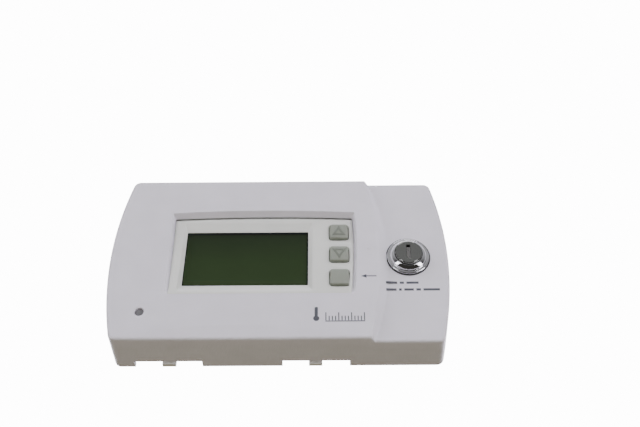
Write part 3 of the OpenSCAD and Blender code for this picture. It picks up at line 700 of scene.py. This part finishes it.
def build_panel():
    """The recessed panel, with a mitred bevel down to the display and a well for each button."""
    bm = bmesh.new()

    def down_bevel(x, y):
        """How far down the bevel a point lies, from 0 on the panel to 1 at the display."""
        (ax0, ay0, ax1, ay1), (wx0, wy0, wx1, wy1) = FRAME_RECT, WINDOW
        shares = ((x - ax0) / (wx0 - ax0), (y - ay0) / (wy0 - ay0),
                  (ax1 - x) / (ax1 - wx1), (ay1 - y) / (ay1 - wy1))
        return min(1.0, max(0.0, min(shares)))

    def back(x, y):
        share = down_bevel(x, y)
        front = panel_depth(x, y) * (1 - share) + WINDOW_D * share
        return max(front - 1.8, glass.d1 + 0.05)

    def flange_depth(x, y):
        side, head = FLANGE_BACK
        return panel_depth(x, y) - side - (head - side) * head_share(y)

    def edge_depth(x, y, angle):
        """Depth round the panel's edge: well rounded at the sides, sharp along its head and foot."""
        return panel_depth(x, y) - (0.05 + (COVE - 0.05) * side_share(y)) * (1 - math.cos(angle))

    edge = []
    for step in range(6):
        angle = math.pi / 2 * step / 5
        edge.append(add_loop(bm, lift(
            pocket_loop(-SIDE_FIT - 1.6 * (1 - math.sin(angle)),
                        -HEAD_GAP - 0.15 * (1 - math.sin(angle)), -FOOT_FIT),
            lambda x, y, a=angle: edge_depth(x, y, a))))
    edge += [
        add_loop(bm, lift(pocket_loop(-SIDE_FIT, -HEAD_GAP, -FOOT_FIT), flange_depth)),
        add_loop(bm, lift(pocket_loop(*FLANGE), flange_depth)),
        add_loop(bm, lift(pocket_loop(*FLANGE), lambda x, y: flange_depth(x, y) - 0.7)),
    ]
    for a, b in zip(edge, edge[1:]):
        stitch(bm, a, b)

    # Mitred bevel down to the display
    def bevel(share):
        """Loop part of the way down the bevel, with its depth."""
        a, b = np.array(FRAME_RECT), np.array(WINDOW)
        rect = a + (b - a) * share
        loop = rect_loop(*rect, 0.35, 0.0, 20, 3)
        outer = rect_loop(*a, 0.35, 0.0, 20, 3)
        return [
            (x, y, panel_depth(ox, oy) + (WINDOW_D - panel_depth(ox, oy)) * share)
            for (x, y), (ox, oy) in zip(loop, outer)
        ]

    frame_loops = [add_loop(bm, lift(rect_loop(*FRAME_RECT, 0.6, 0.25, 20, 3), panel_depth))]
    frame_loops += [add_loop(bm, bevel(s)) for s in (0.05, 0.12, 0.5, 0.9, 1.0)]
    frame_loops.append(add_loop(bm, lift(rect_loop(*WINDOW, 0.35, -0.06, 20, 3), glass.d1 + 0.05)))
    for a, b in zip(frame_loops, frame_loops[1:]):
        stitch(bm, a, b)

    wells = []
    for box in BUTTONS.values():
        rings = [
            add_loop(bm, lift(button_rect(box, grow), lambda x, y, d=deeper: panel_depth(x, y) - d))
            for grow, deeper in ((0.62, 0), (0.48, 0.06), (0.42, 0.22))
        ]
        rings.append(add_loop(bm, lift(button_rect(box, 0.42), back)))
        for a, b in zip(rings, rings[1:]):
            stitch(bm, a, b)
        wells.append(rings)
    area = (-39, -23, 58, 27)
    fill(bm, edge[0], [frame_loops[0]] + [w[0] for w in wells], panel_depth, grid(*area, 2.6), 0.8)
    fill(bm, edge[-1], [frame_loops[-1]] + [w[-1] for w in wells], back, grid(*area, 4.0), 0.8)
    return finish_mesh(bm, "panel_shell", MATERIALS["panel_plastic"], "front",
                       ["display_panel"], 50)


def triangle_mark(centre, pointing, size=3.8, stroke=1.0):
    """Outline of a small triangle that points up or down, as an outer and an inner loop."""
    wide, tall, drop = 1.12, 1.15, 0.8
    loops = []
    for reach in (size, size - stroke * 2):
        loops.append([
            (centre[0] + reach * math.cos(a) * wide,
             centre[1] + pointing * (reach * math.sin(a) * tall - drop))
            for a in (math.pi / 2, math.pi * 7 / 6, math.pi * 11 / 6)
        ])
    return loops


def build_button(name, box):
    """Cushioned key cap that stands out of the panel and leans with it."""
    bm = bmesh.new()
    proud, crown, soft = 1.65, 0.24, 0.85

    def top(x, y):
        u, v = (x - box.x) / (BUTTON_W / 2), (y - box.y) / (BUTTON_H / 2)
        return panel_depth(x, y) + proud + crown * (1 - u * u) * (1 - v * v)

    # A collar behind the panel, then the cap's sides
    rings = [
        add_loop(bm, lift(button_rect(box, grow), lambda x, y, d=deeper: panel_depth(x, y) - d))
        for grow, deeper in ((0.5, 3.2), (0.5, 2.2), (0, 2.2), (0, 0.2))
    ]
    rings.append(add_loop(bm, lift(button_rect(box, -0.04), lambda x, y: top(x, y) - soft)))
    for i in range(1, 7):
        a = math.pi / 2 * i / 6
        rings.append(add_loop(bm, lift(
            button_rect(box, -0.04 - soft * (1 - math.cos(a))),
            lambda x, y, a=a: top(x, y) - soft * (1 - math.sin(a)))))
    for a, b in zip(rings, rings[1:]):
        stitch(bm, a, b)
    bm.faces.new(rings[0])
    fill(bm, rings[-1], [], top, grid(box.x0, box.y0, box.x1, box.y1, 0.9), 0.4)
    stem_r, stem_end, stem_top = 1.8, 18.7, panel_depth(box.x, box.y) - 3.1
    add_lathe(bm, (box.x, box.y), [(0.02, stem_end), (stem_r, stem_end), (stem_r, stem_top),
                                   (0.02, stem_top)], 24)
    finish_mesh(bm, f"key_cap_{name}", MATERIALS["button_plastic"], f"button_{name}",
                [f"button_{name}"], 40)
    if name == "start":
        return

    # Raised triangle, its colour a little darker than the key cap as painted shade along its relief
    bm = bmesh.new()
    outer, inner = triangle_mark((box.x, box.y), 1 if name == "up" else -1)
    middle = [((a[0] + b[0]) / 2, (a[1] + b[1]) / 2) for a, b in zip(outer, inner)]
    levels = [(outer, -0.1), (outer, 0.2), (middle, 0.35), (inner, 0.2), (inner, -0.1)]
    loops = [add_loop(bm, lift(loop, lambda x, y, h=h: top(x, y) + h)) for loop, h in levels]
    for a, b in zip(loops, loops[1:] + loops[:1]):
        stitch(bm, a, b)
    finish_mesh(bm, f"key_mark_{name}", shaded_mark_plastic, f"button_{name}")


# ---- Lock and indicator -------------------------------------------------------------------------

def build_lock():
    """Chromed barrel: a flat flange, then a convex slope up to a rim round the plug."""
    bm = bmesh.new()
    seat, top, back = gasket.d1, housing_box.d1, housing_box.d0
    profile = [(9.3, back + 0.3), (9.3, seat), (11.0, seat), (11.2, seat + 0.2), (11.2, seat + 0.5),
               (11.0, seat + 0.78), (10.75, seat + 0.88), (9.95, seat + 0.88), (9.75, seat + 0.95)]
    profile += [
        (9.7 - 1.6 * t + 0.42 * math.sin(math.pi * t), seat + 1.0 + (top - seat - 1.2) * t)
        for t in np.linspace(0, 1, 9)
    ]
    profile += [(7.95, top - 0.06), (7.8, top), (7.6, top), (7.45, top - 0.1), (7.35, top - 0.3),
                (7.35, top - 2.2), (6.1, top - 2.2), (6.1, back), (9.0, back)]
    add_lathe(bm, LOCK, profile, 128)
    return finish_mesh(bm, "lock_barrel", MATERIALS["lock_chrome"], "front",
                       ["lock_housing"], 38)


def build_plug():
    """Key plug with a small groove round its face and a keyway that the shutter closes."""
    bm = bmesh.new()
    face, radius, shank, thick = plug_box.d1, 7.2, 6.0, 3.0
    edge = ((0.6, 0), (0.45, 0.1), (0.3, 0.1), (0.08, 0.2), (0, 0.45), (0, thick))    # (inward, down)
    rim = [
        add_loop(bm, lift(circle_loop(LOCK, radius - inward, 96), face - down)) for inward, down in edge
    ]
    rim += [add_loop(bm, lift(circle_loop(LOCK, shank, 96), d)) for d in (face - thick, plug_box.d0)]
    for a, b in zip(rim, rim[1:]):
        stitch(bm, a, b)
    bm.faces.new(rim[-1])
    x, y = LOCK
    mouth, lead, deep = (x - 1.0, y - 4.1, x + 1.0, y + 4.5), 0.16, 5.5
    slot = [
        add_loop(bm, lift(rect_loop(*mouth, 0.15, grow, 8, 2), face - down))
        for grow, down in ((lead, 0), (0, lead), (0, deep))
    ]
    for a, b in zip(slot, slot[1:]):
        stitch(bm, a, b)
    bm.faces.new(slot[-1])
    fill(bm, rim[0], [slot[0]], lambda x, y: face, grid(x - 8, y - 8, x + 8, y + 8, 1.2))
    return finish_mesh(bm, "plug_face", MATERIALS["plug_metal"], "key_plug", ["lock_plug"], 30)


def build_lens():
    """Small smoked lens, slightly domed, at the bottom of its hole."""
    bm = bmesh.new()
    dome = [(2.15 * math.cos(a), 26.9 + 0.5 * math.sin(a)) for a in np.linspace(0, math.pi / 2 * 0.98, 7)]
    profile = [(0.02, lens.d0), (2.15, lens.d0), (2.15, 24.1), (3.1, 24.1), (3.1, 25.5), (2.15, 25.5)] + dome
    add_lathe(bm, LENS, profile, 48)
    return finish_mesh(bm, "lens_dome", MATERIALS["lens_plastic"], "front",
                       ["indicator_lens"], 40)


def build_border():
    """Black border laid on the display's glass, widest at its head."""
    bm = bmesh.new()
    outer = rect_loop(*WINDOW, 0.4, 0.8)
    x0, y0, x1, y1 = WINDOW
    inner = rect_loop(x0 + 0.6, y0 + 0.4, x1 - 0.75, y1 - 1.5, 0.4)
    loops = [add_loop(bm, lift(loop, glass.d1 + d)) for loop, d in
             ((outer, 0.005), (outer, 0.03), (inner, 0.03), (inner, 0.005))]
    for a, b in zip(loops, loops[1:] + loops[:1]):
        stitch(bm, a, b)
    return finish_mesh(bm, "display_border", border_black, "front")


# ---- Marks on the case --------------------------------------------------------------------------

def build_print():
    """Printed arrow, thermometer sign with a scale, and bars in place of words."""
    bm = bmesh.new()

    def stamp(outline):
        add_prism(bm, outline, lambda x, y: face_depth(x, y) - 0.05, lambda x, y: face_depth(x, y) + 0.02)

    def bar(x0, x1, y, height, pieces=1):
        """Level bar, in short lengths where it has to follow the slope."""
        xs = np.linspace(x0, x1, pieces + 1)
        for a, b in zip(xs, xs[1:]):
            stamp([(a, y - height / 2), (b, y - height / 2), (b, y + height / 2), (a, y + height / 2)])

    # Arrow towards the start button
    tip, neck, tail, level = 61.9, 64.8, 70.0, -13.4
    stamp([(tip, level), (neck, level - 1.15), (neck, level + 1.15)])
    bar(neck, tail, level, 0.6, 6)

    # Thermometer sign and its scale
    x, y = 38.6, -38.6
    stamp(circle_loop((x, y), 1.55, 28))
    stamp(rect_loop(x - 0.85, y + 1.2, x + 0.85, y + 6.6, 0.6, 0, 4, 4))
    first, pitch, ticks, thick = 43.2, 1.62, 13, 0.55
    foot = y - 1.2
    for i in range(ticks):
        head = foot + (4.6 if i % 4 == 0 else 2.6)
        at = first + pitch * i
        stamp([(at, foot), (at + thick, foot), (at + thick, head), (at, head)])
    bar(first, first + pitch * (ticks - 1) + thick, y - 1.6, thick)

    # Two rows of bars under the lock
    start, tall, gap = 75.0, 1.35, 1.3
    for row, widths in ((-15.2, (6.0, 2.2, 6.4)), (-19.4, (5.4, 1.4, 5.0, 2.4, 8.6))):
        at = start
        for width in widths:
            bar(at, at + width, row, tall)
            at += width + gap
    return finish_mesh(bm, "printed_marks", ink, "front")


def build_relief():
    """Raised position marks of the key: an upright bar above the lock and a dot to its left."""
    bm = bmesh.new()
    for outline in (rect_loop(87.3, 18.6, 88.3, 23.2, 0.45, 0, 3, 3), circle_loop((66.7, 4.6), 1.0, 24)):
        add_prism(bm, outline, lambda x, y: face_depth(x, y) - 0.2, lambda x, y: face_depth(x, y) + 0.22)
    return finish_mesh(bm, "position_marks", MATERIALS["case_plastic"], "front")


# ---- CAD nodes that stay ------------------------------------------------------------------------

def dress_cad():
    """Gives every CAD node its material, and softens the edges of the larger moulded ones."""
    slots = {s["node"]: s["material_slot"] for s in frame["record"]["subparts"]}
    soft = {"wall_plate": 0.25, "rear_cover": 0.2, "latch_left": 0.2, "latch_right": 0.2, "relays": 0.3,
            "wire_plug": 0.2, "lock_nut": 0.25, "control_chips": 0.15}
    for name, node in frame["nodes"].items():
        node.data.materials.clear()
        node.data.materials.append(MATERIALS[slots[name]])
        if name in soft:
            bevel = node.modifiers.new("soft edges", "BEVEL")
            bevel.width = soft[name] * MM
            bevel.segments = 2
            bevel.limit_method = "ANGLE"
            bevel.angle_limit = math.radians(50)
            bevel.use_clamp_overlap = True


# ---- Stage --------------------------------------------------------------------------------------

ROOM_LIGHT = ((0.36, (0.35, 0.315, 0.215)), (0.62, (0.31, 0.31, 0.33)))   # below and above the object
ROOM_SHINE = ((0.42, (0.04, 0.038, 0.034)), (0.75, (0.42, 0.42, 0.44)))   # as seen in reflections
FLOOR_Z = -1.0                             # metres
CAMERA_AT = (0.04335, -0.37702, -0.24105)
CAMERA_LENS = 44.77                        # millimetres, on a sensor 36 mm wide
CAMERA_RISE, CAMERA_TURN, CAMERA_ROLL = 37.616, 0.45, -0.12    # degrees
LAMP_AIM = (0.02, -0.014, 0.0)
LAMP_TINT = (1.0, 0.98, 1.06)
LAMPS = {
    # name: (place, width and height in metres, watts, lights surfaces, shows in reflections)
    "front": ((0.35, -1.5, 0.05), (1.2, 1.2), 12.0, True, False),
    "upper left": ((-1.2, -0.75, 0.75), (0.9, 0.9), 13.0, True, False),
    "upper right": ((1.25, -0.85, 0.7), (0.9, 0.9), 14.0, True, False),
    "low left": ((-1.1, -0.42, -0.36), (0.35, 0.35), 2.2, True, False),
    "low right": ((1.2, -0.42, -0.36), (0.35, 0.35), 2.2, True, False),
    "strip left": ((-1.0, -0.45, -0.4), (2.2, 0.3), 8.5, False, True),
    "strip right": ((1.1, -0.45, -0.4), (2.2, 0.35), 11.0, False, True),
    "over": ((0.1, -0.1, 1.3), (0.9, 0.9), 9.0, True, True),
    "behind left": ((-0.9, 1.1, 0.4), (0.9, 0.9), 12.0, True, True),
    "behind right": ((0.9, 1.1, 0.4), (0.9, 0.9), 12.0, True, True),
}


def stage():
    """Pale floor, white backdrop, soft lights all round and the camera."""
    mesh = bpy.data.meshes.new("floor")
    bm = bmesh.new()
    bmesh.ops.create_grid(bm, x_segments=1, y_segments=1, size=6.0)
    bm.to_mesh(mesh)
    bm.free()
    floor = bpy.data.objects.new("floor", mesh)
    floor.location.z = FLOOR_Z
    paper = Paint("floor_paper", roughness=0.9, Emission_Color=(1.0, 1.0, 0.99, 1.0), Emission_Strength=2.4)
    mesh.materials.append(paper.colour((0.85, 0.85, 0.84), 0.01, 2.0).material)
    bpy.context.scene.collection.objects.link(floor)
    floor.visible_diffuse = False
    floor.visible_glossy = False

    world = bpy.data.worlds.new("studio")
    bpy.context.scene.world = world
    world.use_nodes = True
    tree = world.node_tree
    where = tree.nodes.new("ShaderNodeTexCoord")
    split = tree.nodes.new("ShaderNodeSeparateXYZ")
    span = tree.nodes.new("ShaderNodeMapRange")
    span.inputs["From Min"].default_value = -1.0
    tree.links.new(where.outputs["Generated"], split.inputs["Vector"])
    tree.links.new(split.outputs["Z"], span.inputs["Value"])
    ray = tree.nodes.new("ShaderNodeLightPath")

    def background(stops=None):
        """Background shader, white or with colours by height."""
        shader = tree.nodes.new("ShaderNodeBackground")
        if stops:
            ramp = tree.nodes.new("ShaderNodeValToRGB")
            for element, (at, colour) in zip(ramp.color_ramp.elements, stops):
                element.position = at
                element.color = (*colour, 1)
            tree.links.new(span.outputs["Result"], ramp.inputs["Fac"])
            tree.links.new(ramp.outputs["Color"], shader.inputs["Color"])
        return shader

    def choose(kind, plain, special):
        """Shader that is special for one kind of ray."""
        mix = tree.nodes.new("ShaderNodeMixShader")
        tree.links.new(ray.outputs[kind], mix.inputs["Fac"])
        tree.links.new(plain.outputs[0], mix.inputs[1])
        tree.links.new(special.outputs[0], mix.inputs[2])
        return mix

    backdrop = background()
    backdrop.inputs["Color"].default_value = (1, 1, 1, 1)
    backdrop.inputs["Strength"].default_value = 14.0
    seen = choose("Is Glossy Ray", background(ROOM_LIGHT), background(ROOM_SHINE))
    seen = choose("Is Camera Ray", seen, backdrop)
    tree.links.new(seen.outputs[0], tree.nodes["World Output"].inputs["Surface"])
    tree.nodes.remove(tree.nodes["Background"])

    middle = Vector(LAMP_AIM)
    for name, (at, (wide, tall), power, lights, shines) in LAMPS.items():
        light = bpy.data.lights.new(name, "AREA")
        light.shape = "ELLIPSE"
        light.size, light.size_y = wide, tall
        light.energy = power
        light.color = LAMP_TINT
        lamp = bpy.data.objects.new(name, light)
        lamp.location = at
        lamp.visible_diffuse = lights
        lamp.visible_glossy = shines
        lamp.rotation_euler = (middle - Vector(at)).to_track_quat("-Z", "Y").to_euler()
        bpy.context.scene.collection.objects.link(lamp)

    data = bpy.data.cameras.new("camera")
    data.sensor_width = 36.0
    data.lens = CAMERA_LENS
    data.clip_start = 0.01
    camera = bpy.data.objects.new("camera", data)
    camera.location = CAMERA_AT
    turn = Matrix.Rotation(math.radians(CAMERA_TURN), 4, "Z")
    rise = Matrix.Rotation(math.radians(90 + CAMERA_RISE), 4, "X")
    roll = Matrix.Rotation(math.radians(CAMERA_ROLL), 4, "Z")
    camera.rotation_euler = (turn @ rise @ roll).to_euler()
    bpy.context.scene.collection.objects.link(camera)
    bpy.context.scene.camera = camera


dress_cad()
build_case()
build_panel()
for button_name, button_box in BUTTONS.items():
    build_button(button_name, button_box)
build_lock()
build_plug()
build_lens()
build_border()
build_print()
build_relief()
stage()
